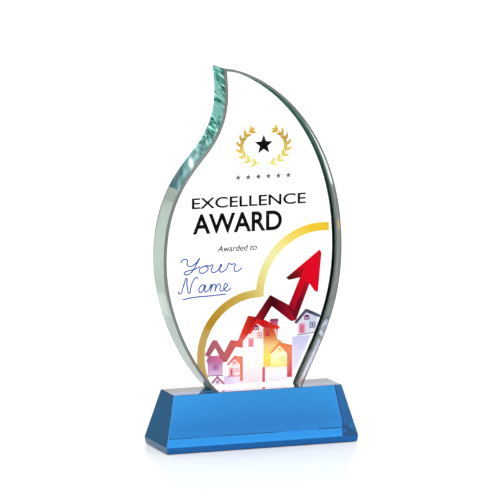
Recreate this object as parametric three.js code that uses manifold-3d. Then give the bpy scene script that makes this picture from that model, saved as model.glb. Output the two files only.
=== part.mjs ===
// Crystal award: a flame-shaped plate of clear crystal, bonded upright on a tapered block of blue crystal.
// The artwork is printed in reverse on the plate's back face, and is read from the front through the crystal.
// Millimetres, +Z up. The front faces -Y, and the origin is the middle of the base's underside.

import * as THREE from 'three';
import { ConvexGeometry } from 'three/addons/geometries/ConvexGeometry.js';
import { mergeVertices } from 'three/addons/utils/BufferGeometryUtils.js';
import Module from 'manifold-3d';

const wasm = await Module();
wasm.setup();

// ---- Driving dimensions ----

const BASE = {
  width: 107,        // widest, at the top of the skirt
  depth: 35.5,
  height: 29.5,
  topWidth: 93.8,
  topDepth: 20.6,
  skirt: 3.3,        // height of the narrow band that tucks in under the widest line
  tuck: 0.5,
};
const BOND = { width: 47, depth: 18.2, thickness: 0.2 };
const PLATE = { thickness: 19.05, chamfer: 1.3, foot: BASE.height + BOND.thickness };
const INK = {
  thickness: 0.1,
  gap: 0.05,         // from the plate's back face
  margin: 2.4,       // bare rim of the plate, round the trimmed prints
};

// The flame's edge as cubic curves, in X and Z: [first handle, second handle, end]. It goes from the tip down its
// left side, past the foot, and up its right side. It runs on below the foot, where the plate is cut flat.
const FLAME_TIP = [-18.4, 199.5];
const FLAME_EDGE = [
  [[-17.7, 187.7], [-14.4, 173.0], [-29.4, 155.3]],
  [[-39.6, 143.4], [-51.6, 130.2], [-51.6, 99.0]],
  [[-51.6, 71.5], [-36.5, 40.5], [-20.0, 26.7]],
  [[-6.0, 26.7], [10.0, 26.7], [24.3, 26.7]],
  [[31.0, 45.0], [47.4, 65.5], [47.4, 103.0]],
  [[47.4, 172.0], [1.2, 198.5], FLAME_TIP],
];
const CURVE_STEPS = { plate: 22, printArea: 12 };   // per curve: more would crowd the chamfer's mitre at the tip

// ---- Materials ----

function finish(color, roughness, metalness = 0, opacity = 1) {
  return new THREE.MeshStandardMaterial({ color, roughness, metalness, opacity, transparent: opacity < 1 });
}

const clearCrystal = finish(0xe6f4ef, 0.02, 0, 0.35);
const blueCrystal = finish(0x1f86d8, 0.03, 0, 0.85);
const clearBond = finish(0xeef3f2, 0.1, 0, 0.5);
const goldInk = finish(0xd9b04a, 0.4);
const blackInk = finish(0x101012, 0.5);
const greyInk = finish(0x6f6f73, 0.5);
const blueInk = finish(0x3b57b8, 0.5);
const redInk = finish(0xc8141e, 0.5);
const paleInk = finish(0xf0e4f2, 0.5);
const lilacInk = finish(0xc9bde6, 0.5);
const pinkInk = finish(0xd36a8e, 0.5);
const plumInk = finish(0x6b4a78, 0.5);
const yellowInk = finish(0xffd860, 0.5);
const orangeInk = finish(0xe8843a, 0.5);

// ---- Solids ----

function toManifold(geometry) {
  geometry.deleteAttribute('normal');
  geometry.deleteAttribute('uv');
  const merged = mergeVertices(geometry);
  return new wasm.Manifold(new wasm.Mesh({
    numProp: 3,
    vertProperties: merged.attributes.position.array,
    triVerts: new Uint32Array(merged.index.array),
  }));
}

function toGeometry(manifold) {
  const mesh = manifold.getMesh();
  const geometry = new THREE.BufferGeometry();
  geometry.setAttribute('position', new THREE.BufferAttribute(mesh.vertProperties, 3));
  geometry.setIndex(new THREE.BufferAttribute(mesh.triVerts, 1));
  geometry.computeVertexNormals();
  return geometry;
}

function part(name, geometry, material) {
  const mesh = new THREE.Mesh(geometry, material);
  mesh.name = name;
  return mesh;
}

// ---- Outlines, drawn in X and Z as seen from the front ----

function polygon(points) {
  return new THREE.Shape(points.map(([x, z]) => new THREE.Vector2(x, z)));
}

function rectangle(left, bottom, right, top) {
  return polygon([[left, bottom], [right, bottom], [right, top], [left, top]]);
}

function ringSector([x, z], inner, outer, fromDegrees, toDegrees) {
  const from = THREE.MathUtils.degToRad(fromDegrees);
  const to = THREE.MathUtils.degToRad(toDegrees);
  const shape = new THREE.Shape();
  shape.absarc(x, z, outer, from, to, false);
  shape.absarc(x, z, inner, to, from, true);
  return shape;
}

function flame() {
  const shape = new THREE.Shape();
  shape.moveTo(...FLAME_TIP);
  for (const [first, second, end] of FLAME_EDGE) {
    shape.bezierCurveTo(...first, ...second, ...end);
  }
  return shape;
}

// ---- Base, bond and plate ----

function baseBlock() {
  const loops = [
    [BASE.width - 2 * BASE.tuck, BASE.depth - 2 * BASE.tuck, 0],
    [BASE.width, BASE.depth, BASE.skirt],
    [BASE.topWidth, BASE.topDepth, BASE.height],
  ];
  const corners = [];
  for (const [width, depth, z] of loops) {
    for (const [sx, sy] of [[-1, -1], [1, -1], [1, 1], [-1, 1]]) {
      corners.push(new THREE.Vector3(sx * width / 2, sy * depth / 2, z));
    }
  }
  return part('base_block', new ConvexGeometry(corners), blueCrystal);
}

function bondFilm() {
  const outline = rectangle(-BOND.width / 2, -BOND.depth / 2, BOND.width / 2, BOND.depth / 2);
  const geometry = new THREE.ExtrudeGeometry(outline, { depth: BOND.thickness, bevelEnabled: false });
  geometry.translate(1, 0, BASE.height);
  return part('bond_film', geometry, clearBond);
}

function awardPlate() {
  const { thickness, chamfer, foot } = PLATE;
  const geometry = new THREE.ExtrudeGeometry(flame(), {
    depth: thickness - 2 * chamfer,
    curveSegments: CURVE_STEPS.plate,
    bevelThickness: chamfer,
    bevelSize: chamfer,
    bevelOffset: -chamfer,
    bevelSegments: 1,
  });
  geometry.translate(0, 0, chamfer - thickness / 2);
  const below = new THREE.BoxGeometry(BASE.width, foot, 2 * thickness);
  below.translate(0, foot / 2, 0);
  const cut = toManifold(geometry).subtract(toManifold(below));
  return part('award_plate', toGeometry(cut), clearCrystal);
}

// ---- Ink, in thin layers behind the plate: layer 0 is next to the crystal and hides the others ----

function film(shape, layer, steps = 12) {
  const geometry = new THREE.ExtrudeGeometry(shape, {
    depth: INK.thickness,
    curveSegments: steps,
    bevelEnabled: false,
  });
  geometry.translate(0, 0, -PLATE.thickness / 2 - INK.gap - (layer + 1) * INK.thickness);
  return geometry;
}

// The printable area: the flame's outline drawn in by the bare rim.
function printArea() {
  const depth = 20 * INK.thickness;
  const area = new THREE.ExtrudeGeometry(flame(), {
    depth,
    curveSegments: CURVE_STEPS.printArea,
    bevelThickness: INK.gap,
    bevelSize: 0,
    bevelOffset: -INK.margin,
    bevelSegments: 1,
  });
  area.translate(0, 0, -PLATE.thickness / 2 - depth);
  return toManifold(area);
}

const printable = printArea();

function ink(name, shape, layer, material) {
  return part(name, film(shape, layer), material);
}

function trimmedInk(name, shapes, layer, material) {
  const joined = shapes.map((shape) => toManifold(film(shape, layer, 48))).reduce((a, b) => a.add(b));
  return part(name, toGeometry(joined.intersect(printable)), material);
}

// Two gold arcs that meet in a cusp, like the outline of two rounded hills.
function goldArch() {
  const upper = ringSector([41, 76.8], 33.1, 37.6, 70, 180.5);
  const lower = ringSector([5.4, 45.9], 30.4, 34.7, 88, 220);
  return trimmedInk('gold_arch', [upper, lower], 4, goldInk);
}

function risingArrow() {
  const shape = polygon([
    [-25.0, 47.4], [-20.7, 55.0], [-18.4, 55.0], [-14.2, 48.2], [-10.6, 54.6], [-6.6, 54.0], [-0.9, 67.0],
    [3.3, 66.1], [11.5, 77.3], [21.3, 69.7], [28.2, 85.6], [21.9, 84.6], [20.4, 85.9],
    [39.2, 99.9], [40.3, 98.3], [38.3, 77.2], [36.4, 78.0], [33.6, 82.0],
    [25.9, 62.9], [23.2, 62.5], [12.4, 71.2], [4.6, 59.0], [0.8, 59.6], [-3.8, 50.0], [-7.8, 50.7],
    [-12.8, 43.0], [-15.2, 43.0], [-19.2, 50.8], [-22.6, 46.0],
  ].reverse());
  return ink('rising_arrow', shape, 2, redInk);
}

// [node, layer, ink, outline]
const HOUSES = [
  ['tower_wall', 1, paleInk, polygon([
    [-3.8, 31], [7.5, 31], [7.5, 60.0], [4.0, 63.4], [-0.2, 57.6], [-3.8, 53.4],
  ])],
  ['tower_roof', 0, redInk, polygon([
    [-0.6, 57.8], [0.4, 57.0], [4.2, 62.4], [8.0, 60.0], [16.2, 58.9], [17.0, 60.0], [8.5, 64.2],
    [3.7, 64.8],
  ])],
  ['tower_side', 1, yellowInk, polygon([
    [7.6, 39], [11.9, 39], [11.9, 46.8], [18.4, 52.3], [15.5, 53.6], [13.8, 59.2], [7.6, 60.0],
  ])],
  ['chimney', 1, pinkInk, polygon([
    [14.2, 59.0], [15.8, 54.0], [15.8, 63.2], [16.4, 63.4], [15.6, 64.5], [11.8, 64.5], [10.9, 63.5],
    [11.6, 63.2], [11.6, 59.6],
  ])],
  ['middle_wall', 1, paleInk, polygon([[12.0, 39], [20.9, 39], [20.9, 46.2], [16.5, 50.6], [12.0, 46.6]])],
  ['middle_roof', 0, orangeInk, polygon([
    [11.4, 46.6], [12.2, 46.0], [16.6, 50.0], [20.9, 45.4], [20.9, 32.8], [23.7, 32.8], [23.7, 49.9],
    [16.3, 52.0],
  ])],
  ['low_wall', 1, lilacInk, rectangle(9.0, 31, 20.8, 38.9)],
  ['right_wall', 2, paleInk, polygon([
    [27.0, 55.4], [38.2, 56.6], [38.2, 64.2], [31.6, 67.2], [27.0, 62.0],
  ])],
  ['right_roof', 1, plumInk, polygon([
    [24.8, 61.8], [26.2, 61.0], [31.7, 66.9], [39.4, 63.6], [39.6, 65.2], [32.2, 68.7], [31.2, 68.7],
  ])],
  ['pink_wall', 1, paleInk, polygon([
    [-12.2, 35.5], [-5.6, 35.5], [-5.6, 41.8], [-8.4, 45.0], [-12.2, 41.8],
  ])],
  ['pink_roof', 0, pinkInk, polygon([
    [-12.9, 41.7], [-12.1, 41.1], [-8.4, 44.3], [-5.6, 41.2], [-5.6, 32.4], [-3.9, 32.4], [-3.9, 45.5],
    [-8.7, 46.2],
  ])],
  ['pink_base', 1, lilacInk, rectangle(-14.4, 31, -3.9, 35.4)],
  ['plum_wall', 3, lilacInk, rectangle(-23.4, 36.4, -15.0, 43.4)],
  ['plum_roof', 1, pinkInk, polygon([[-24.4, 43.4], [-14.8, 43.4], [-17.4, 46.8], [-23.2, 46.9]])],
  ['gable_wall', 1, paleInk, polygon([
    [-20.4, 31], [-14.8, 31], [-14.8, 31.8], [-18.0, 35.2], [-20.4, 33.0],
  ])],
  ['gable_roof', 0, plumInk, polygon([
    [-21.6, 32.6], [-20.9, 31.9], [-18.1, 34.6], [-14.7, 31.2], [-14.0, 31.9], [-18.1, 36.2],
  ])],
];

// The slim tower under the right-hand house is cut off by the rim of the plate.
function rightTower() {
  const block = polygon([[23.9, 31], [42, 31], [42, 55.2], [23.9, 54.2]]);
  return trimmedInk('right_tower', [block], 3, lilacInk);
}

// ---- Emblem: a laurel wreath round a star, over a row of small stars ----

const WREATH = {
  centre: [7.8, 156.4],
  radius: 9.6,
  stretch: 1.35,     // its width over its height
  stem: 0.55,
  leaves: 8,         // pairs on each branch
  leafLength: 4.2,
  leafWidth: 1.5,
};

function star([x, z], radius) {
  const points = [];
  for (let i = 0; i < 10; i += 1) {
    const reach = i % 2 ? radius * 0.42 : radius;
    const turn = Math.PI / 2 + i * Math.PI / 5;
    points.push([x + reach * Math.cos(turn), z + reach * Math.sin(turn)]);
  }
  return polygon(points);
}

function laurelLeaf(length, width) {
  const shape = new THREE.Shape();
  shape.moveTo(0, 0);
  shape.quadraticCurveTo(length * 0.45, -width, length, 0);
  shape.quadraticCurveTo(length * 0.45, width, 0, 0);
  return shape;
}

// One branch: side is +1 for the right-hand branch and -1 for the left-hand one.
function laurelBranch(name, side) {
  const { centre, radius, stretch, stem, leaves, leafLength, leafWidth } = WREATH;
  const [from, to] = [-84, 58].map(THREE.MathUtils.degToRad);
  const at = (turn) => [side * stretch * radius * Math.cos(turn), radius * Math.sin(turn)];
  const inner = [];
  const outer = [];
  for (let i = 0; i <= 24; i += 1) {
    const turn = from + (to - from) * i / 24;
    const [x, z] = at(turn);
    const half = stem / 2 / radius;
    outer.push([x * (1 + half), z * (1 + half)]);
    inner.unshift([x * (1 - half), z * (1 - half)]);
  }
  const outline = side > 0 ? [...outer, ...inner] : [...outer, ...inner].reverse();
  let branch = toManifold(film(polygon(outline), 0));
  for (let i = 1; i <= leaves; i += 1) {
    const turn = from + (to - from) * (i - 0.35) / leaves;
    const [x, z] = at(turn);
    const heading = Math.atan2(radius * Math.cos(turn), -side * stretch * radius * Math.sin(turn));
    for (const lean of i === leaves ? [-0.55, 0.1, 0.6] : [-0.6, 0.6]) {
      const leaf = film(laurelLeaf(leafLength, leafWidth), 0, 6);
      leaf.rotateZ(heading + lean);
      leaf.translate(x, z, 0);
      branch = branch.add(toManifold(leaf));
    }
  }
  const geometry = toGeometry(branch);
  geometry.translate(...centre, 0);
  return part(name, geometry, goldInk);
}

const SMALL_STARS = { count: 6, left: -6.4, spacing: 5.6, z: 140.3, radius: 1.7 };

// ---- Lettering: each line's strip is as long and as tall as its letters ----

// [node, ink, left, bottom, right, top]
const LINES = [
  ['heading_line', blackInk, -32.1, 124.9, 31.4, 130.7],
  ['title_line', blackInk, -31.6, 111.5, 18.0, 122.1],
  ['caption_line', blackInk, -18.0, 101.6, 4.0, 104.9],
  ['name_line_upper', blueInk, -38.8, 90.2, -4.0, 99.4],
  ['name_line_lower', blueInk, -39.9, 77.2, -10.0, 89.2],
];

// ---- Assembly ----

const award = new THREE.Group();
award.add(baseBlock(), bondFilm());

// Drawings stand up here: their X stays, their Y becomes +Z, and their depth becomes -Y.
const upright = new THREE.Group();
upright.rotation.x = Math.PI / 2;
award.add(upright);

upright.add(awardPlate(), goldArch(), risingArrow(), rightTower());
for (const [name, layer, material, outline] of HOUSES) {
  upright.add(ink(name, outline, layer, material));
}
upright.add(laurelBranch('wreath_left', -1), laurelBranch('wreath_right', 1));
upright.add(ink('emblem_star', star([WREATH.centre[0], WREATH.centre[1] + 0.6], 5.4), 0, blackInk));
for (let i = 0; i < SMALL_STARS.count; i += 1) {
  const { left, spacing, z, radius } = SMALL_STARS;
  upright.add(ink(`small_star_${i + 1}`, star([left + i * spacing, z], radius), 0, greyInk));
}
for (const [name, material, ...edges] of LINES) {
  upright.add(ink(name, rectangle(...edges), 0, material));
}

export default award;
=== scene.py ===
# Crystal award: a flame-shaped plate of clear crystal, bonded upright on a tapered block of blue crystal.
# The artwork is printed in reverse on the plate's back face, in thin films of ink, and is read through
# the crystal.
# Metres, +Z up. The front faces -Y, and the origin is the middle of the base's underside.

import math

import bpy
import bmesh
from mathutils import Matrix, Vector


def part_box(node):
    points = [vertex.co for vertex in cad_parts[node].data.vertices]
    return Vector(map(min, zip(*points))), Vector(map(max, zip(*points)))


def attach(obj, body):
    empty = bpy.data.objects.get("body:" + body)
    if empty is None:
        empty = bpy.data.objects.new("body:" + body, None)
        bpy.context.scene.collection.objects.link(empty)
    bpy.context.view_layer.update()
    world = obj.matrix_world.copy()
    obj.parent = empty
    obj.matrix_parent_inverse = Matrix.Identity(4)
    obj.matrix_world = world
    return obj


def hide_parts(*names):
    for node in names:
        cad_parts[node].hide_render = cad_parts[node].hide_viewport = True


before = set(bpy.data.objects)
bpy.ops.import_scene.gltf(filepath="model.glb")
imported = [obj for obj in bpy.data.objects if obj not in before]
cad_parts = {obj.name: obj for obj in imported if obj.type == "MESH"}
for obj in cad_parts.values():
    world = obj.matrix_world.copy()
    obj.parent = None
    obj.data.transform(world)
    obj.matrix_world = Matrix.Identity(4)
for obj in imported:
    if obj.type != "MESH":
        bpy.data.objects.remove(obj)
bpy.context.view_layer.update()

MM = 0.001

# ---- Sizes that the frame gives ----

base_low, base_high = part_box("base_block")
plate_low, plate_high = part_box("award_plate")

# ---- Driving dimensions of the finer surfaces, in metres ----

BASE = {
    "top_width": 93.8 * MM,
    "top_depth": 20.6 * MM,
    "skirt": 3.3 * MM,
    "tuck": 0.5 * MM,
    "arris": 0.35 * MM,
}
PLATE = {"chamfer": 1.3 * MM, "curve_steps": 40, "tip_room": 3.2 * MM}
BOND = {"corner": 1.5 * MM, "clearance": 0.02 * MM}
INK = {"thickness": 0.1 * MM, "gap": 0.05 * MM, "nib": 0.36 * MM}

# As cosines: how nearly a face points along an axis to count as facing that way, and how far a bevel leans.
FACING = 0.9
BEVEL_LEAN = 0.4

# The flame's edge as cubic curves, in X and Z: [first handle, second handle, end], in millimetres, from the
# tip down its left side, past the foot, and up its right side.
FLAME_TIP = (-18.4, 199.5)
FLAME_EDGE = [
    ((-17.7, 187.7), (-14.4, 173.0), (-29.4, 155.3)),
    ((-39.6, 143.4), (-51.6, 130.2), (-51.6, 99.0)),
    ((-51.6, 71.5), (-36.5, 40.5), (-20.0, 26.7)),
    ((-6.0, 26.7), (10.0, 26.7), (24.3, 26.7)),
    ((31.0, 45.0), (47.4, 65.5), (47.4, 103.0)),
    ((47.4, 172.0), (1.2, 198.5), FLAME_TIP),
]
CHIPS = {
    "lowest": 137 * MM,
    "rightmost": -15 * MM,
    "rows": 20,
    "border": 0.8 * MM,
    "broad_from": 152 * MM,
    "fine_from": 166 * MM,
}
# Large scoops and small ones: size and depth, the slant in degrees, and the proportions.
SCOOPS = [
    (9.0 * MM, 1.1 * MM, 40, (1, 1, 0.6)),
    (3.0 * MM, 0.4 * MM, -35, (1, 1, 0.35)),
]

CAMERA = {
    "turn": -20.31,
    "rise": 9.03,
    "distance": 2.846,
    "lens": 392,
    "sensor": 36,
    "aim": (-0.8 * MM, 0, 102.2 * MM),
}


# ---- Small helpers ----

def deselect():
    for item in bpy.context.selected_objects:
        item.select_set(False)
    bpy.context.view_layer.objects.active = None


def take(item):
    """Makes item the only selected one."""
    deselect()
    item.select_set(True)
    bpy.context.view_layer.objects.active = item


def named(name):
    """Names the piece that was just added."""
    item = bpy.context.object
    item.name = name
    item.data.name = name
    return item


def settle(item):
    """Moves the piece's place into its mesh."""
    take(item)
    bpy.ops.object.transform_apply(location=True, rotation=True, scale=True)


def edit(item, kind="FACE"):
    """Opens the piece's mesh, to pick parts of one kind, with nothing selected."""
    take(item)
    bpy.ops.object.mode_set(mode="EDIT")
    bpy.ops.mesh.select_mode(type=kind)
    bpy.ops.mesh.select_all(action="DESELECT")


def done():
    bpy.ops.object.mode_set(mode="OBJECT")


def pick(item, kind, wanted):
    """In edit mode: selects the faces, edges or verts for which wanted(part) is true."""
    mesh = bmesh.from_edit_mesh(item.data)
    for part in getattr(mesh, kind):
        part.select_set(bool(wanted(part)))
    mesh.select_flush_mode()
    bmesh.update_edit_mesh(item.data)


def runs_along(edge, axis):
    """True for an edge that runs along an axis: 1 for Y, 2 for Z."""
    start, end = edge.verts
    return abs((start.co - end.co).normalized()[axis]) > FACING


def modify(item, kind, **settings):
    """Adds a modifier to the piece and applies it."""
    take(item)
    modifier = item.modifiers.new(kind.lower(), kind)
    for key, value in settings.items():
        setattr(modifier, key, value)
    bpy.ops.object.modifier_apply(modifier=modifier.name)


def finish_piece(item, material, slot, *nodes):
    """Gives the piece its material, or a list of them, and its place in the assembly. All its faces take the
    first of a list, until they are told otherwise."""
    item.data.materials.clear()
    for each in material if isinstance(material, list) else [material]:
        item.data.materials.append(each)
    if nodes:
        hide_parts(*nodes)
    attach(item, "root")


# ---- Materials ----

class Nodes:
    """A material's node tree, with short calls for the nodes that the finishes use."""

    def __init__(self, name):
        self.material = bpy.data.materials.new(name)
        self.material.use_nodes = True
        self.tree = self.material.node_tree
        self.surface = self.tree.nodes["Principled BSDF"]
        self.output = self.tree.nodes["Material Output"]
        self.place = self.add("ShaderNodeTexCoord").outputs["Object"]

    def add(self, kind, **settings):
        node = self.tree.nodes.new(kind)
        for key, value in settings.items():
            setattr(node, key, value)
        return node

    def join(self, source, target):
        self.tree.links.new(source, target)

    def set(self, **values):
        for key, value in values.items():
            self.surface.inputs[key.replace("_", " ")].default_value = value

    def noise(self, scale, detail=2.0, stretch=None, turn=0):
        """stretch is how many times longer the pattern is along each axis, and turn its slant in degrees."""
        node = self.add("ShaderNodeTexNoise")
        node.inputs["Scale"].default_value = scale
        node.inputs["Detail"].default_value = detail
        place = self.place
        if stretch:
            mapping = self.add("ShaderNodeMapping", vector_type="TEXTURE")
            mapping.inputs["Scale"].default_value = stretch
            mapping.inputs["Rotation"].default_value = (math.radians(turn), 0, 0)
            self.join(place, mapping.inputs["Vector"])
            place = mapping.outputs["Vector"]
        self.join(place, node.inputs["Vector"])
        return node.outputs["Fac"]

    def ranged(self, value, low, high, from_low=0.0, from_high=1.0):
        node = self.add("ShaderNodeMapRange")
        node.inputs["From Min"].default_value = from_low
        node.inputs["From Max"].default_value = from_high
        node.inputs["To Min"].default_value = low
        node.inputs["To Max"].default_value = high
        self.join(value, node.inputs["Value"])
        return node.outputs["Result"]

    def along(self, direction, start, end):
        """0 at start and 1 at end along a direction, which are distances from the origin in metres."""
        dot = self.add("ShaderNodeVectorMath", operation="DOT_PRODUCT")
        self.join(self.place, dot.inputs[0])
        dot.inputs[1].default_value = Vector(direction).normalized()
        return self.ranged(dot.outputs["Value"], 0.0, 1.0, start, end)

    def ramp(self, value, stops):
        """stops: (place from 0 to 1, colour as red, green, blue from 0 to 255)."""
        node = self.add("ShaderNodeValToRGB")
        points = node.color_ramp.elements
        while len(points) < len(stops):
            points.new(0.5)
        for point, (place, _) in zip(points, stops):
            point.position = place
        for point, (_, colour) in zip(points, stops):
            point.color = shade(colour)
        self.join(value, node.inputs["Fac"])
        return node.outputs["Color"]

    def mix(self, share, first, second, blend="MIX"):
        node = self.add("ShaderNodeMix", data_type="RGBA", blend_type=blend)
        sockets = (node.inputs["Factor"], node.inputs[6], node.inputs[7])
        for socket, value in zip(sockets, (share, first, second)):
            if isinstance(value, bpy.types.NodeSocket):
                self.join(value, socket)
            else:
                socket.default_value = value
        return node.outputs[2]

    def bump(self, height, strength, distance):
        node = self.add("ShaderNodeBump")
        node.inputs["Strength"].default_value = strength
        node.inputs["Distance"].default_value = distance
        self.join(height, node.inputs["Height"])
        self.join(node.outputs["Normal"], self.surface.inputs["Normal"])

    def absorb(self, colour, density):
        """The crystal's body colour, which deepens with the distance through it."""
        volume = self.add("ShaderNodeVolumeAbsorption")
        volume.inputs["Color"].default_value = colour
        volume.inputs["Density"].default_value = density
        self.join(volume.outputs["Volume"], self.output.inputs["Volume"])

    def polish(self, smoothest, roughest):
        """Faint waves, and a gloss that drifts a little from place to place."""
        drift = self.ranged(self.noise(60, 4), smoothest, roughest, 0.45, 0.8)
        self.join(drift, self.surface.inputs["Roughness"])
        self.bump(self.noise(45, 2), 0.02, 0.02 * MM)


def shade(colour):
    """A display colour, 0 to 255, as the linear colour that nodes take."""
    linear = [c / 255 / 12.92 if c <= 10 else ((c / 255 + 0.055) / 1.055) ** 2.4 for c in colour]
    return (*linear, 1.0)


def crystal(name, tint, absorbed, density, haze=0.012, shine=0.5):
    """Polished crystal: clear to its full depth."""
    m = Nodes(name)
    m.set(Base_Color=tint, IOR=CRYSTAL_IOR, Transmission_Weight=1.0, Specular_IOR_Level=shine)
    m.polish(0.0, haze)
    m.absorb(absorbed, density)
    return m.material


def chipped_crystal(name, fine, broad, clarity, absorbed, density):
    """The hand-chipped edge: fine hackle lines run across it near the tip, and long smooth facets lower down.
    fine and broad are the colours of the two: the teal of the crystal's edge, running from painted shade on
    the shaded side of each ridge to a painted highlight on the bright one, with a painted sheen on the
    facets. The light that the chips would gather from inside the plate is a painted glow of the same colours."""
    m = Nodes(name)
    m.set(IOR=CRYSTAL_IOR, Transmission_Weight=clarity, Specular_IOR_Level=0.3, Emission_Strength=0.4)
    hackle = m.noise(760, 3, stretch=(2.0, 7.0, 1.0), turn=13)
    facet = m.noise(170, 1, stretch=(2.0, 4.0, 1.2), turn=22)
    near_tip = m.along(UP, CHIPS["broad_from"], CHIPS["fine_from"])
    on_facets = m.ranged(facet, 0.0, 0.8, 0.56, 0.62)
    streaks = m.mix(on_facets, m.ramp(hackle, fine), shade(PAINTED_FACET_SHEEN))
    colour = m.mix(near_tip, m.ramp(facet, broad), streaks)
    m.join(colour, m.surface.inputs["Base Color"])
    # Painted glow: the emission takes the same painted colours.
    m.join(colour, m.surface.inputs["Emission Color"])
    m.join(m.ranged(hackle, 0.04, 0.2, 0.4, 0.8), m.surface.inputs["Roughness"])
    m.bump(hackle, 0.4, 0.3 * MM)
    m.absorb(absorbed, density)
    return m.material


def surface_coloured_crystal(name, top, stops, clarity, absorbed, density, haze=0.06):
    """Crystal that mostly shows a colour given to its surface, blended from bottom to top by the stops:
    painted shade on the ground and shaded bevels and on the base's ends and skirt, and a pale green-grey on
    the polished walls.
    """
    m = Nodes(name)
    m.set(IOR=CRYSTAL_IOR, Transmission_Weight=clarity, Specular_IOR_Level=0.1)
    m.join(m.ramp(m.along(UP, 0.0, top), stops), m.surface.inputs["Base Color"])
    m.polish(0.02, 0.02 + haze)
    m.absorb(absorbed, density)
    return m.material


def ink(name, direction, start, end, stops, gloss=0.42, grain=0.06, glow=0.5):
    """Printed ink: a blend of colours along one direction, with a fine screened grain and a slightly uneven
    gloss. glow is a painted glow: emission in the ink's own colours, standing in for the light that comes
    through the thin films from behind."""
    m = Nodes(name)
    # Painted glow: the emission takes the ink's own colours at strength glow.
    m.set(Emission_Strength=glow, Specular_IOR_Level=0.03)
    colour = m.ramp(m.along(direction, start, end), stops)
    speck = m.ramp(m.ranged(m.noise(2600, 3), 0.0, 1.0, 0.3, 0.7), [(0, (255,) * 3), (1, (226,) * 3)])
    printed = m.mix(grain * 4, colour, speck, "MULTIPLY")
    m.join(printed, m.surface.inputs["Base Color"])
    m.join(printed, m.surface.inputs["Emission Color"])
    m.join(m.ranged(m.noise(400, 2), gloss - 0.08, gloss + 0.1), m.surface.inputs["Roughness"])
    m.bump(m.noise(1800, 2), 0.15, 0.01 * MM)
    return m.material


def plain_ink(name, colour, **settings):
    """One colour, a little lighter toward the plate's upper right."""
    lighter = tuple(min(255, c + 14) for c in colour)
    return ink(name, UP_AND_RIGHT, 0, 0.2, [(0, colour), (1, lighter)], **settings)


UP = (0, 0, 1)
RIGHT = (1, 0, 0)
UP_AND_RIGHT = (1, 0, 1)

CRYSTAL_IOR = 1.52
# A painted sheen on the chipped edge's facets.
PAINTED_FACET_SHEEN = (120, 184, 176)
CLEAR_TINT = (0.985, 1.0, 0.995, 1.0)
CLEAR_ABSORBED = (0.0, 0.55, 0.3, 1.0)
CLEAR_DENSITY = 2.4
BLUE_ABSORBED = (0.0, 0.65, 0.825, 1.0)
BLUE_DENSITY = 40.0

clear_crystal = crystal("clear crystal", CLEAR_TINT, CLEAR_ABSORBED, CLEAR_DENSITY, shine=0.02)
# The chipped edge's colours: painted shade on each ridge's dark side and a painted highlight on its bright
# side.
chipped_edge = chipped_crystal(
    "chipped crystal edge",
    [(0.42, (6, 66, 62)), (0.5, (48, 140, 128)), (0.58, (88, 176, 160)), (0.67, (200, 238, 232))],
    [(0.4, (50, 92, 98)), (0.52, (84, 136, 138)), (0.6, (136, 178, 176)), (0.66, (232, 248, 246))],
    0.35, CLEAR_ABSORBED, CLEAR_DENSITY)
polished_edge = surface_coloured_crystal(
    "polished crystal edge", plate_high.z,
    [(0.0, (196, 210, 206)), (0.5, (220, 232, 224)), (1.0, (224, 236, 230))],
    0.65, CLEAR_ABSORBED, CLEAR_DENSITY)
# The front chamfers: a ground, rougher finish, with painted grey shade as their colour.
ground_bevel_painted_shade = surface_coloured_crystal(
    "ground crystal bevel with painted shade", plate_high.z, [(0.0, (112, 118, 116)), (1.0, (120, 124, 122))],
    0.3, CLEAR_ABSORBED, CLEAR_DENSITY, haze=0.2)
# Painted shade on the bevels at the back right: near black low down, lighter and greener toward the top.
shaded_bevel = surface_coloured_crystal(
    "shaded crystal bevel", plate_high.z,
    [(0.0, (18, 24, 24)), (0.55, (10, 16, 16)), (0.72, (40, 78, 74)), (1.0, (110, 160, 152))],
    0.1, CLEAR_ABSORBED, CLEAR_DENSITY, haze=0.2)
blue_crystal = crystal("blue crystal", (0.045, 0.44, 0.93, 1.0), BLUE_ABSORBED, BLUE_DENSITY)
# The base's end faces: painted shade, a dark teal blue in place of the light through them.
shaded_end_crystal = surface_coloured_crystal(
    "blue crystal ends with painted shade", base_high.z, [(0.0, (18, 90, 128)), (0.5, (22, 98, 142)), (1.0, (26, 94, 136))],
    0.35, BLUE_ABSORBED, BLUE_DENSITY)
# The skirt under the overhang: painted shade, a deeper blue than the body.
shaded_skirt_crystal = surface_coloured_crystal(
    "blue crystal skirt with painted shade", base_high.z, [(0.0, (0, 98, 172)), (1.0, (2, 108, 186))],
    0.3, BLUE_ABSORBED, BLUE_DENSITY)
# The underside: painted shade, near black.
shaded_underside_crystal = crystal("blue crystal underside with painted shade", (0.0, 0.01, 0.03, 1.0), BLUE_ABSORBED, BLUE_DENSITY)
bonding_resin = crystal("bonding resin", (0.97, 0.99, 0.98, 1.0), (0.5, 0.8, 0.75, 1.0), 4.0, haze=0.1)

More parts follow.
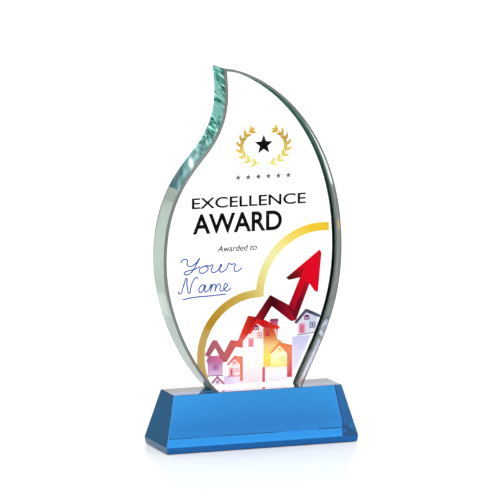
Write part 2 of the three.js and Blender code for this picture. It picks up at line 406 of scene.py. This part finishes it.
black_ink = plain_ink("black ink", (9, 9, 11), grain=0.03)
grey_ink = plain_ink("grey ink", (104, 104, 108))
script_ink = ink("blue script ink", RIGHT, -0.04, 0.0, [(0, (54, 84, 178)), (1, (62, 88, 196))])
gold_ink = ink("gold ink", UP_AND_RIGHT, 0.008, 0.112, [
    (0.0, (200, 156, 48)), (0.22, (188, 140, 36)), (0.42, (210, 172, 78)), (0.58, (243, 226, 150)),
    (0.68, (250, 240, 176)), (0.8, (253, 222, 110)), (0.92, (252, 204, 48)), (1.0, (252, 206, 60)),
])
emblem_gold = ink("emblem gold ink", UP, 0.145, 0.167, [
    (0.0, (250, 238, 150)), (0.35, (244, 208, 92)), (0.7, (206, 160, 62)), (1.0, (238, 196, 84)),
])
arrow_ink = ink("arrow ink", RIGHT, -0.025, 0.041, [
    (0.0, (148, 52, 74)), (0.12, (176, 52, 74)), (0.22, (196, 40, 52)), (0.32, (232, 54, 34)),
    (0.42, (176, 20, 30)), (0.5, (116, 10, 24)), (0.58, (64, 8, 16)), (0.66, (128, 12, 34)),
    (0.74, (168, 10, 34)), (0.84, (226, 4, 32)), (0.94, (236, 6, 34)), (1.0, (206, 24, 46)),
])

wall_white = ink("tower wall ink", UP, 0.031, 0.063, [
    (0.0, (250, 222, 236)), (0.25, (255, 240, 244)), (0.6, (255, 250, 248)), (1.0, (252, 216, 220))])
tower_red = ink("tower roof ink", RIGHT, -0.001, 0.017, [
    (0.0, (236, 60, 40)), (0.45, (206, 16, 34)), (1.0, (226, 60, 40))])
tower_glow = ink("lit side ink", UP, 0.039, 0.060, [
    (0.0, (252, 196, 60)), (0.25, (255, 226, 50)), (0.55, (253, 196, 120)), (0.8, (226, 112, 64)),
    (1.0, (208, 66, 48))])
chimney_ink = ink("chimney ink", UP, 0.054, 0.0645, [
    (0.0, (246, 190, 190)), (0.6, (218, 110, 150)), (0.85, (176, 70, 118)), (1.0, (120, 48, 84))])
middle_white = ink("middle wall ink", UP, 0.039, 0.050, [
    (0.0, (255, 236, 120)), (0.4, (255, 248, 190)), (1.0, (255, 252, 232))])
middle_orange = ink("middle roof ink", (0.6, 0, -1), -0.045, -0.018, [
    (0.0, (240, 150, 70)), (0.35, (240, 128, 44)), (0.7, (238, 110, 60)), (1.0, (224, 60, 84))])
low_pink = ink("low wall ink", UP, 0.031, 0.039, [
    (0.0, (250, 228, 246)), (0.5, (255, 244, 252)), (1.0, (255, 246, 236))])
right_pale = ink("right wall ink", UP_AND_RIGHT, 0.058, 0.073, [
    (0.0, (238, 222, 242)), (0.5, (226, 226, 246)), (1.0, (206, 214, 240))])
slate_ink = ink("slate roof ink", RIGHT, 0.0248, 0.0396, [
    (0.0, (74, 52, 82)), (0.4, (104, 84, 112)), (0.7, (60, 62, 84)), (1.0, (98, 104, 128))])
tower_lilac = ink("lilac tower ink", UP, 0.031, 0.056, [
    (0.0, (252, 240, 252)), (0.5, (230, 220, 250)), (1.0, (212, 206, 246))])
pink_pale = ink("pink house wall ink", UP, 0.0355, 0.045, [
    (0.0, (250, 222, 240)), (0.5, (255, 244, 248)), (1.0, (255, 226, 232))])
pink_roof_ink = ink("pink house roof ink", RIGHT, -0.0129, -0.0039, [
    (0.0, (214, 70, 110)), (0.5, (232, 96, 100)), (0.8, (244, 122, 60)), (1.0, (238, 84, 70))])
pink_base_ink = ink("pink house base ink", (1, 0, -0.4), -0.029, -0.015, [
    (0.0, (206, 160, 220)), (0.4, (232, 206, 244)), (1.0, (252, 240, 252))])
plum_wall_ink = ink("plum house wall ink", UP, 0.0364, 0.0434, [
    (0.0, (226, 184, 232)), (0.5, (210, 140, 200)), (1.0, (184, 84, 150))])
plum_roof_ink = ink("plum house roof ink", RIGHT, -0.0244, -0.0148, [
    (0.0, (166, 62, 120)), (0.5, (196, 72, 130)), (1.0, (216, 92, 150))])
gable_wall_ink = ink("gable wall ink", UP, 0.031, 0.0352, [(0.0, (250, 236, 250)), (1.0, (226, 200, 240))])
gable_roof_ink = ink("gable roof ink", RIGHT, -0.0216, -0.014, [
    (0.0, (150, 52, 112)), (1.0, (196, 70, 116))])

plum_line = plain_ink("plum line ink", (128, 40, 96))
red_line = plain_ink("red line ink", (206, 52, 72))
pink_line = plain_ink("pink line ink", (222, 106, 140))
yellow_line = plain_ink("yellow line ink", (240, 186, 62))
slate_line = plain_ink("slate line ink", (66, 62, 92))
fold_left = ink("arrow barb shadow ink", RIGHT, 0.0204, 0.0315, [
    (0.0, (74, 22, 20)), (0.5, (120, 20, 26)), (1.0, (214, 6, 32))])
fold_right = ink("arrow shaft shadow ink", RIGHT, 0.0115, 0.034, [
    (0.0, (92, 8, 24)), (0.4, (132, 12, 34)), (0.7, (112, 10, 30)), (1.0, (196, 12, 40))])


# ---- Base ----

def base_piece():
    """A tapered block on a narrow skirt that tucks in under the widest line, with its arrises taken off."""
    size = base_high - base_low
    deselect()
    bpy.ops.mesh.primitive_cube_add(size=1, location=(0, 0, BASE["skirt"] / 2))
    item = named("crystal_base")
    item.scale = (size.x, size.y, BASE["skirt"])
    settle(item)
    edit(item)
    pick(item, "faces", lambda f: f.normal.z < -0.5)
    tuck = 2 * BASE["tuck"]
    bpy.ops.transform.resize(value=(1 - tuck / size.x, 1 - tuck / size.y, 1))
    pick(item, "faces", lambda f: f.normal.z > 0.5)
    rise = base_high.z - BASE["skirt"]
    bpy.ops.mesh.extrude_region_move(TRANSFORM_OT_translate={"value": (0, 0, rise)})
    bpy.ops.transform.resize(value=(BASE["top_width"] / size.x, BASE["top_depth"] / size.y, 1))
    done()
    modify(item, "BEVEL", width=BASE["arris"], segments=2, limit_method="ANGLE",
           angle_limit=math.radians(12))
    finishes = [blue_crystal, shaded_skirt_crystal, shaded_underside_crystal, shaded_end_crystal]
    finish_piece(item, finishes, "blue_crystal", "base_block")
    # The ends, skirt and underside take painted shade.
    for face in item.data.polygons:
        if face.normal.z < -FACING:
            face.material_index = finishes.index(shaded_underside_crystal)
        elif abs(face.normal.x) > FACING:
            face.material_index = finishes.index(shaded_end_crystal)
        elif face.center.z < BASE["skirt"] and face.normal.y < 0.5:
            face.material_index = finishes.index(shaded_skirt_crystal)


# ---- Plate ----

def curve_piece(name, loops, steps, smooth=True):
    """A flat closed curve per loop, in X and Z. The points of a smooth loop are (handle, point, handle)."""
    curve = bpy.data.curves.new(name, "CURVE")
    curve.dimensions = "2D"
    curve.fill_mode = "BOTH"
    curve.resolution_u = steps
    for points in loops:
        if smooth:
            spline = curve.splines.new("BEZIER")
            spline.bezier_points.add(len(points) - 1)
            for point, (before, at, after) in zip(spline.bezier_points, points):
                point.handle_left_type = point.handle_right_type = "FREE"
                point.handle_left = (*before, 0)
                point.co = (*at, 0)
                point.handle_right = (*after, 0)
        else:
            spline = curve.splines.new("POLY")
            spline.points.add(len(points) - 1)
            for point, (x, z) in zip(spline.points, points):
                point.co = (x, z, 0, 1)
        spline.use_cyclic_u = True
    item = bpy.data.objects.new(name, curve)
    bpy.context.scene.collection.objects.link(item)
    return item


def flame_loop():
    """The flame's edge as one closed loop of (handle before, point, handle after)."""
    scaled = [[(x * MM, z * MM) for x, z in piece] for piece in FLAME_EDGE]
    return [(scaled[i - 1][1], scaled[i - 1][2], scaled[i][0]) for i in range(len(scaled))]


def stand_up(item, front, depth, spare=None):
    """Makes a flat outline a solid that stands from y = front to y = front + depth. Its spare points go."""
    take(item)
    bpy.ops.object.convert(target="MESH")
    item.rotation_euler = (math.radians(90), 0, 0)
    settle(item)
    edit(item)
    bpy.ops.mesh.select_all(action="SELECT")
    bpy.ops.mesh.remove_doubles(threshold=0.002 * MM)
    bpy.ops.mesh.dissolve_limited(angle_limit=math.radians(0.01))
    if spare:
        bpy.ops.mesh.select_mode(type="VERT")
        pick(item, "verts", spare)
        bpy.ops.mesh.dissolve_verts()
        bpy.ops.mesh.select_all(action="SELECT")
    bpy.ops.transform.translate(value=(0, front, 0))
    bpy.ops.mesh.extrude_region_move(TRANSFORM_OT_translate={"value": (0, depth, 0)})
    bpy.ops.mesh.select_all(action="SELECT")
    bpy.ops.mesh.normals_make_consistent(inside=False)
    done()


PLATE_FINISHES = [clear_crystal, chipped_edge, ground_bevel_painted_shade, shaded_bevel, polished_edge]
CHIPPED, GROUND_PAINTED_SHADE, SHADED, POLISHED = 1, 2, 3, 4


def crowds_the_tip(vertex):
    """True for an outline point so close to the tip that the chamfer's mitre would fold over it."""
    tip_x, tip_z = FLAME_TIP
    distance = (vertex.co - Vector((tip_x * MM, vertex.co.y, tip_z * MM))).length
    return 0.1 * MM < distance < PLATE["tip_room"]


def plate_piece():
    """The flame: a thick plate, chamfered front and back, flat at its foot and chipped at its upper left."""
    chamfer = PLATE["chamfer"]
    thickness = plate_high.y - plate_low.y
    item = curve_piece("crystal_flame", [flame_loop()], PLATE["curve_steps"])
    stand_up(item, plate_low.y + chamfer, thickness - 2 * chamfer, crowds_the_tip)
    edit(item)
    for side in (-1, 1):
        pick(item, "faces", lambda f: f.normal.y * side > FACING and f.calc_center_median().y * side > 0)
        bpy.ops.mesh.inset(thickness=chamfer, depth=chamfer, use_even_offset=True, use_boundary=True)
    bpy.ops.mesh.select_all(action="SELECT")
    bpy.ops.mesh.bisect(plane_co=(0, 0, plate_low.z), plane_no=(0, 0, -1), use_fill=True, clear_outer=True)
    chip_the_edge(item)
    take(item)
    bpy.ops.object.shade_smooth_by_angle(angle=math.radians(25))
    edit(item)
    pick(item, "faces", lambda f: f.material_index == CHIPPED)
    bpy.ops.mesh.faces_shade_flat()
    done()
    chipped = [face.index for face in item.data.polygons if face.material_index == CHIPPED]
    finish_piece(item, PLATE_FINISHES, "clear_crystal", "award_plate")
    for face in item.data.polygons:
        lean = abs(face.normal.y)
        if face.index in chipped:
            face.material_index = CHIPPED
        elif BEVEL_LEAN < lean < FACING:
            # Bevels at the back right take painted shade, the other bevels the ground finish with its painted
            # shade.
            at_back_right = face.normal.y > 0 and face.normal.x > -0.1
            face.material_index = SHADED if at_back_right else GROUND_PAINTED_SHADE
        elif lean < BEVEL_LEAN and face.normal.z > -FACING:
            face.material_index = POLISHED


def on_chipped_wall(place, normal):
    upper_left = place.z > CHIPS["lowest"] and place.x < CHIPS["rightmost"]
    return upper_left and abs(normal.y) < 0.3 and normal.x < -0.3


def chip_the_edge(item):
    """The left wall's upper stretch is chipped by hand: shallow scoops, split by slanting ridges."""
    half = (plate_high.y - plate_low.y) / 2 - PLATE["chamfer"]
    bpy.ops.mesh.select_mode(type="EDGE")
    pick(item, "edges", lambda e: runs_along(e, 1) and any(
        on_chipped_wall(f.calc_center_median(), f.normal) for f in e.link_faces))
    bpy.ops.mesh.subdivide(number_cuts=CHIPS["rows"])
    bpy.ops.mesh.select_mode(type="FACE")
    pick(item, "faces", lambda f: on_chipped_wall(f.calc_center_median(), f.normal))
    bpy.ops.mesh.subdivide(number_cuts=1)
    done()
    item.data.materials.append(clear_crystal)
    item.data.materials.append(chipped_edge)
    group = item.vertex_groups.new(name="chips")
    for face in item.data.polygons:
        if on_chipped_wall(face.center, face.normal):
            face.material_index = CHIPPED
    for vertex in item.data.vertices:
        if on_chipped_wall(vertex.co, vertex.normal):
            edge_room = min(half - abs(vertex.co.y), 0.5 * (plate_high.z - vertex.co.z))
            group.add([vertex.index], max(0.0, min(1.0, edge_room / CHIPS["border"])), "REPLACE")
    for size, depth, turn, stretch in SCOOPS:
        texture = bpy.data.textures.new("scoops", "VORONOI")
        texture.noise_scale = 0.25
        guide = bpy.data.objects.new("guide", None)
        bpy.context.scene.collection.objects.link(guide)
        guide.rotation_euler = (math.radians(turn), 0, 0)
        guide.scale = [size / s * 4 for s in stretch]
        bpy.context.view_layer.update()
        modify(item, "DISPLACE", texture=texture, texture_coords="OBJECT", texture_coords_object=guide,
               vertex_group="chips", strength=-depth, mid_level=0.0, direction="NORMAL")
        bpy.data.objects.remove(guide)
        bpy.data.textures.remove(texture)
    item.vertex_groups.clear()


def bond_piece():
    """The thin film of resin between the plate's foot and the base, drawn back a hair from both."""
    low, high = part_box("bond_film")
    deselect()
    bpy.ops.mesh.primitive_cube_add(size=1, location=(low + high) / 2)
    item = named("bonding_resin")
    item.scale = (high.x - low.x, high.y - low.y, high.z - low.z - 2 * BOND["clearance"])
    settle(item)
    edit(item, "EDGE")
    pick(item, "edges", lambda e: runs_along(e, 2))
    bpy.ops.mesh.bevel(offset=BOND["corner"], segments=5, affect="EDGES")
    done()
    take(item)
    bpy.ops.object.shade_smooth_by_angle(angle=math.radians(30))
    finish_piece(item, bonding_resin, "clear_bond", "bond_film")


# ---- Ink ----

def ink_front(layer):
    """Where an ink film starts: layer 0 lies next to the crystal and shows in front of the others."""
    return plate_high.y + INK["gap"] + layer * INK["thickness"]


def lettering(name, node, words, bold, slant=0.0):
    """Words in black, set to the length and height of the strip that they replace."""
    low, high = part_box(node)
    deselect()
    bpy.ops.object.text_add()
    item = named(name)
    item.data.body = words
    item.data.offset = bold
    item.data.shear = slant
    item.data.resolution_u = 6
    bpy.ops.object.convert(target="MESH")
    item = bpy.context.object
    corners = [Vector(c) for c in item.bound_box]
    left, right = min(c.x for c in corners), max(c.x for c in corners)
    bottom, top = min(c.y for c in corners), max(c.y for c in corners)
    wide, tall = (high.x - low.x) / (right - left), (high.z - low.z) / (top - bottom)
    item.data.transform(Matrix.Translation((-left, -bottom, 0)))
    item.data.transform(Matrix.Diagonal((wide, tall, 1, 1)))
    item.data.transform(Matrix.Translation((low.x, low.z, 0)))
    stand_up(item, ink_front(0), INK["thickness"])
    finish_piece(item, black_ink, "black_ink", node)


def flat_ink(name, loops, layer, material, slot):
    """An ink film with straight edges, in millimetres. A loop inside another is a bare opening in it."""
    item = curve_piece(name, [[(x * MM, z * MM) for x, z in loop] for loop in loops], 1, smooth=False)
    stand_up(item, ink_front(layer), INK["thickness"])
    finish_piece(item, material, slot)


def box_loop(left, bottom, right, top):
    return [(left, bottom), (right, bottom), (right, top), (left, top)]


def sash_window(x, z, wide, tall, bar=0.28):
    """A window frame round four panes: x, z is its middle."""
    half_w, half_t = wide / 2, tall / 2
    loops = [box_loop(x - half_w, z - half_t, x + half_w, z + half_t)]
    for side in (-1, 1):
        for level in (-1, 1):
            near_x, far_x = sorted((x + side * bar / 2, x + side * (half_w - bar)))
            near_z, far_z = sorted((z + level * bar / 2, z + level * (half_t - bar)))
            loops.append(box_loop(near_x, near_z, far_x, far_z))
    return loops


def door(x, bottom, wide, tall, frame_width=0.3):
    """A door leaf inside its frame: three outlines, one inside the other."""
    return [box_loop(x - wide / 2 + inset, bottom, x + wide / 2 - inset, bottom + tall - inset)
            for inset in (0, frame_width, 2 * frame_width)]


def gable_light(x, z, size):
    """A small window with a round head, split by a bar."""
    angles = [math.pi * i / 10 for i in range(11)]
    outer = [(x + size / 2 * math.cos(a), z + size * 0.55 * math.sin(a)) for a in angles]
    outer += [(x - size / 2, z - size * 0.35), (x + size / 2, z - size * 0.35)]
    half_pane = size * 0.12
    panes = [box_loop(middle - half_pane, z - size * 0.2, middle + half_pane, z + half_pane)
             for middle in (x - size * 0.2, x + size * 0.2)]
    return [outer, *panes]


def script_line(name, node, strokes):
    """A line of handwriting, set to the strip that it replaces. Each stroke is a round line, pressed flat."""
    low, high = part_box(node)
    curve = bpy.data.curves.new(name, "CURVE")
    curve.dimensions = "3D"
    curve.resolution_u = 10
    curve.bevel_resolution = 3
    curve.use_fill_caps = True
    every = [point for stroke in strokes for point in stroke]
    left, right = min(x for x, _ in every), max(x for x, _ in every)
    bottom, top = min(z for _, z in every), max(z for _, z in every)
    nib = INK["nib"]
    wide = (high.x - low.x - 2 * nib) / (right - left)
    tall = (high.z - low.z - 2 * nib) / (top - bottom)
    for stroke in strokes:
        spline = curve.splines.new("BEZIER")
        spline.bezier_points.add(len(stroke) - 1)
        for point, (x, z) in zip(spline.bezier_points, stroke):
            point.co = (low.x + nib + (x - left) * wide, 0, low.z + nib + (z - bottom) * tall)
            point.handle_left_type = point.handle_right_type = "AUTO"
    curve.bevel_depth = nib
    item = bpy.data.objects.new(name, curve)
    bpy.context.scene.collection.objects.link(item)
    take(item)
    bpy.ops.object.convert(target="MESH")
    item.scale = (1, INK["thickness"] / (2 * nib), 1)
    item.location = (0, ink_front(0) + INK["thickness"] / 2, 0)
    settle(item)
    finish_piece(item, script_ink, "blue_ink", node)


# Handwriting in x-heights, leaning as it is written: each list is one stroke of the pen.
YOUR = [
    [(0.1, 1.5), (0.35, 1.95), (0.75, 1.85), (0.72, 1.3), (1.0, 1.0), (1.5, 1.3), (1.95, 2.05)],
    [(1.95, 2.05), (1.6, 1.15), (1.2, 0.3), (0.75, -0.1), (0.45, 0.1), (0.8, 0.4), (1.5, 0.6), (1.95, 0.9)],
    [(2.55, 0.95), (2.15, 0.8), (1.9, 0.35), (2.1, 0.0), (2.5, 0.15), (2.75, 0.6), (2.55, 0.95),
     (2.85, 0.88), (3.2, 1.0), (3.05, 0.45), (3.15, 0.03), (3.5, 0.1), (3.85, 0.55), (4.0, 1.0),
     (3.85, 0.4), (3.95, 0.02), (4.25, 0.12), (4.6, 0.6), (4.75, 1.1), (4.95, 0.95), (5.35, 0.95),
     (5.25, 0.45), (5.35, 0.02), (5.65, 0.05), (6.0, 0.45)],
]
NAME = [
    [(-0.15, 0.3), (-0.08, -0.02), (0.2, 0.05), (0.55, 0.8), (0.85, 1.6), (1.08, 2.05), (1.15, 1.4),
     (1.3, 0.5), (1.5, 0.0), (1.8, 0.8), (2.2, 1.7), (2.6, 2.08), (3.0, 1.95)],
    [(4.1, 0.9), (3.65, 1.02), (3.2, 0.7), (3.08, 0.22), (3.35, 0.0), (3.75, 0.28), (4.1, 0.9), (3.98, 0.4),
     (4.1, 0.02), (4.45, 0.15), (4.85, 0.65), (5.05, 1.0), (5.0, 0.5), (4.9, 0.0)],
    [(4.9, 0.0), (5.1, 0.6), (5.5, 1.02), (5.75, 0.8), (5.65, 0.35), (5.6, 0.0)],
    [(5.6, 0.0), (5.85, 0.6), (6.25, 1.02), (6.5, 0.8), (6.4, 0.3), (6.6, 0.0), (7.0, 0.2), (7.4, 0.5),
     (7.6, 0.85), (7.35, 1.03), (7.08, 0.7), (7.1, 0.22), (7.4, 0.0), (7.8, 0.1), (8.2, 0.42)],
    [(0.5, -0.85), (2.4, -0.62), (4.8, -0.55), (7.4, -0.42)],
]


# Windows, doors and lines on the houses: name, outlines, ink and slot.
OPENINGS = [
    ("tower_gable_light", gable_light(3.6, 60.2, 3.0), plum_line, "plum_ink"),
    ("tower_window", sash_window(5.6, 56.2, 2.5, 3.0), red_line, "red_ink"),
    ("tower_door", door(0.7, 50.2, 3.4, 4.8), pink_line, "pink_ink"),
    ("tower_side_window", sash_window(10.0, 56.8, 2.2, 2.8, 0.5), red_line, "red_ink"),
    ("middle_gable_light", gable_light(16.6, 47.4, 2.8), yellow_line, "yellow_ink"),
    ("middle_window", sash_window(18.6, 43.0, 2.4, 2.8), yellow_line, "yellow_ink"),
    ("right_gable_light", gable_light(32.0, 64.0, 3.0), plum_line, "plum_ink"),
    ("right_window", sash_window(35.2, 60.0, 3.0, 3.0, 0.36), slate_line, "plum_ink"),
    ("right_door", door(29.3, 55.9, 3.4, 5.2), pink_line, "pink_ink"),
    ("pink_gable_light", gable_light(-8.6, 42.0, 2.4), pink_line, "pink_ink"),
    ("pink_window", sash_window(-7.2, 38.4, 1.9, 2.4), pink_line, "pink_ink"),
    ("pink_door", door(-10.2, 35.6, 2.3, 4.2), red_line, "red_ink"),
    ("plum_window", sash_window(-19.0, 40.6, 2.6, 2.6, 0.34), plum_line, "plum_ink"),
    ("gable_window", gable_light(-18.0, 32.6, 1.6), plum_line, "plum_ink"),
    ("plum_ledge", [box_loop(-23.6, 35.9, -14.8, 36.4)], plum_line, "plum_ink"),
    ("pink_ledge", [box_loop(-12.6, 35.1, -5.6, 35.5)], red_line, "red_ink"),
    ("right_ledge", [[(26.6, 54.7), (38.4, 55.9), (38.4, 56.4), (26.6, 55.2)]], slate_line, "plum_ink"),
    ("middle_ledge", [box_loop(12.0, 38.8, 20.9, 39.15)], yellow_line, "yellow_ink"),
    ("tower_post", [box_loop(7.1, 31.0, 8.6, 39.0)], red_line, "red_ink"),
]


def arrow_folds():
    """The darker sides of the folded ribbon that the arrow is made of."""
    barb = [(20.4, 85.9), (21.9, 84.6), (28.2, 85.6), (31.0, 90.6), (26.2, 89.2)]
    shaft = [(11.5, 77.3), (21.3, 69.7), (25.9, 62.9), (33.6, 82.0), (31.2, 83.4), (24.6, 67.8), (21.9, 71.4)]
    flat_ink("arrow_barb_shadow", [barb], 1, fold_left, "red_ink")
    flat_ink("arrow_shaft_shadow", [shaft], 1, fold_right, "red_ink")


# ---- Table, light and camera ----

STUDIO = {
    "table_width": 0.42,
    "table_drop": 0.3 * MM,
    "front": -0.34,
    "bend": 0.95,
    "bend_radius": 0.3,
    "top": 1.5,
}


def table_piece():
    """A pale table that runs on behind the award and curves up into a backdrop, square to the camera."""
    deselect()
    bpy.ops.mesh.primitive_plane_add(size=1)
    item = named("table")
    item.scale = (STUDIO["table_width"], STUDIO["bend"] - STUDIO["front"], 1)
    item.location = (0, (STUDIO["bend"] + STUDIO["front"]) / 2, -STUDIO["table_drop"])
    settle(item)
    edit(item, "EDGE")
    pick(item, "edges", lambda e: all(v.co.y > STUDIO["bend"] - MM for v in e.verts))
    centre = (0, STUDIO["bend"], STUDIO["bend_radius"])
    bpy.ops.mesh.spin(steps=16, angle=math.radians(-90), center=centre, axis=(1, 0, 0))
    back = STUDIO["bend"] + STUDIO["bend_radius"]
    pick(item, "edges", lambda e: all(v.co.y > back - MM for v in e.verts))
    bpy.ops.mesh.extrude_region_move(TRANSFORM_OT_translate={"value": (0, 0, STUDIO["top"])})
    done()
    item.rotation_euler = (0, 0, math.radians(CAMERA["turn"]))
    settle(item)
    bpy.ops.object.shade_smooth_by_angle(angle=math.radians(30))
    m = Nodes("pale table")
    m.set(Base_Color=(0.95, 0.95, 0.95, 1), Specular_IOR_Level=0.12)
    m.join(m.ranged(m.noise(3, 2), 0.14, 0.2), m.surface.inputs["Roughness"])
    item.data.materials.append(m.material)


# The room's own brightness, and its lights by direction: where the soft rim round each one's axis starts
# and ends, as cosines, and how much it adds. A dark card takes brightness away.
DIM = 0.7
ROOM = {
    "ceiling": {"axis": (0, 0, 1), "from": 0.35, "to": 0.75, "bright": 1.2},
    "front softbox": {"axis": (-0.45, -0.7, 0.6), "from": 0.84, "to": 0.93, "bright": 2.4},
    "dark card": {"axis": (-0.4, 0.9, -0.17), "from": 0.86, "to": 0.93, "bright": -0.44},
    "front card": {"axis": (0.343, -0.926, -0.157), "from": 0.982, "to": 0.993, "bright": -0.7},
}


def light_the_room():
    """A grey room under an even ceiling and a large soft light, with dark cards that keep the blacks deep and
    draw the far edge. It is plain white wherever the camera looks past the table."""
    world = bpy.data.worlds.new("studio room")
    bpy.context.scene.world = world
    world.use_nodes = True
    tree = world.node_tree
    direction = tree.nodes.new("ShaderNodeTexCoord").outputs["Generated"]
    total = None
    for light in ROOM.values():
        reach = tree.nodes.new("ShaderNodeVectorMath")
        reach.operation = "DOT_PRODUCT"
        reach.inputs[1].default_value = Vector(light["axis"]).normalized()
        tree.links.new(direction, reach.inputs[0])
        glow = tree.nodes.new("ShaderNodeMapRange")
        glow.interpolation_type = "SMOOTHSTEP"
        glow.inputs["From Min"].default_value = light["from"]
        glow.inputs["From Max"].default_value = light["to"]
        glow.inputs["To Min"].default_value = 0.0 if total else DIM
        glow.inputs["To Max"].default_value = light["bright"]
        tree.links.new(reach.outputs["Value"], glow.inputs["Value"])
        if total:
            both = tree.nodes.new("ShaderNodeMath")
            tree.links.new(total, both.inputs[0])
            tree.links.new(glow.outputs["Result"], both.inputs[1])
            total = both.outputs[0]
        else:
            total = glow.outputs["Result"]
    seen = tree.nodes.new("ShaderNodeLightPath").outputs["Is Camera Ray"]
    strength = tree.nodes.new("ShaderNodeMix")
    tree.links.new(seen, strength.inputs["Factor"])
    tree.links.new(total, strength.inputs["A"])
    strength.inputs["B"].default_value = 1.0
    background = tree.nodes["Background"]
    background.inputs["Color"].default_value = (1, 1, 1, 1)
    tree.links.new(strength.outputs["Result"], background.inputs["Strength"])


def place_camera():
    camera = bpy.data.objects.new("camera", bpy.data.cameras.new("camera"))
    bpy.context.scene.collection.objects.link(camera)
    bpy.context.scene.camera = camera
    turn, rise = math.radians(CAMERA["turn"]), math.radians(CAMERA["rise"])
    level = math.cos(rise)
    back = Vector((math.sin(turn) * level, -math.cos(turn) * level, math.sin(rise)))
    camera.location = Vector(CAMERA["aim"]) + back * CAMERA["distance"]
    camera.rotation_euler = (-back).to_track_quat("-Z", "Y").to_euler()
    camera.data.lens = CAMERA["lens"]
    camera.data.sensor_width = CAMERA["sensor"]
    camera.data.clip_start, camera.data.clip_end = 0.1, 50
    scene = bpy.context.scene
    scene.view_settings.view_transform = "Standard"
    scene.cycles.max_bounces = scene.cycles.transmission_bounces = scene.cycles.glossy_bounces = 32


# ---- Assembly ----

place_camera()
light_the_room()
table_piece()
base_piece()
plate_piece()
bond_piece()

lettering("heading_letters", "heading_line", "EXCELLENCE", bold=0.014)
lettering("title_letters", "title_line", "AWARD", bold=0.024)
lettering("caption_letters", "caption_line", "Awarded to", bold=0.01, slant=0.25)

script_line("script_upper", "name_line_upper", YOUR)
script_line("script_lower", "name_line_lower", NAME)
for name, loops, material, slot in OPENINGS:
    flat_ink(name, loops, 0, material, slot)
arrow_folds()

FINISHES = {
    "gold_arch": gold_ink, "rising_arrow": arrow_ink,
    "tower_wall": wall_white, "tower_roof": tower_red, "tower_side": tower_glow, "chimney": chimney_ink,
    "middle_wall": middle_white, "middle_roof": middle_orange, "low_wall": low_pink,
    "right_wall": right_pale, "right_roof": slate_ink, "right_tower": tower_lilac,
    "pink_wall": pink_pale, "pink_roof": pink_roof_ink, "pink_base": pink_base_ink,
    "plum_wall": plum_wall_ink, "plum_roof": plum_roof_ink,
    "gable_wall": gable_wall_ink, "gable_roof": gable_roof_ink,
    "wreath_left": emblem_gold, "wreath_right": emblem_gold, "emblem_star": black_ink,
    **{f"small_star_{i}": grey_ink for i in range(1, 7)},
}
for node, material in FINISHES.items():
    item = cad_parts[node]
    item.data.materials.clear()
    item.data.materials.append(material)
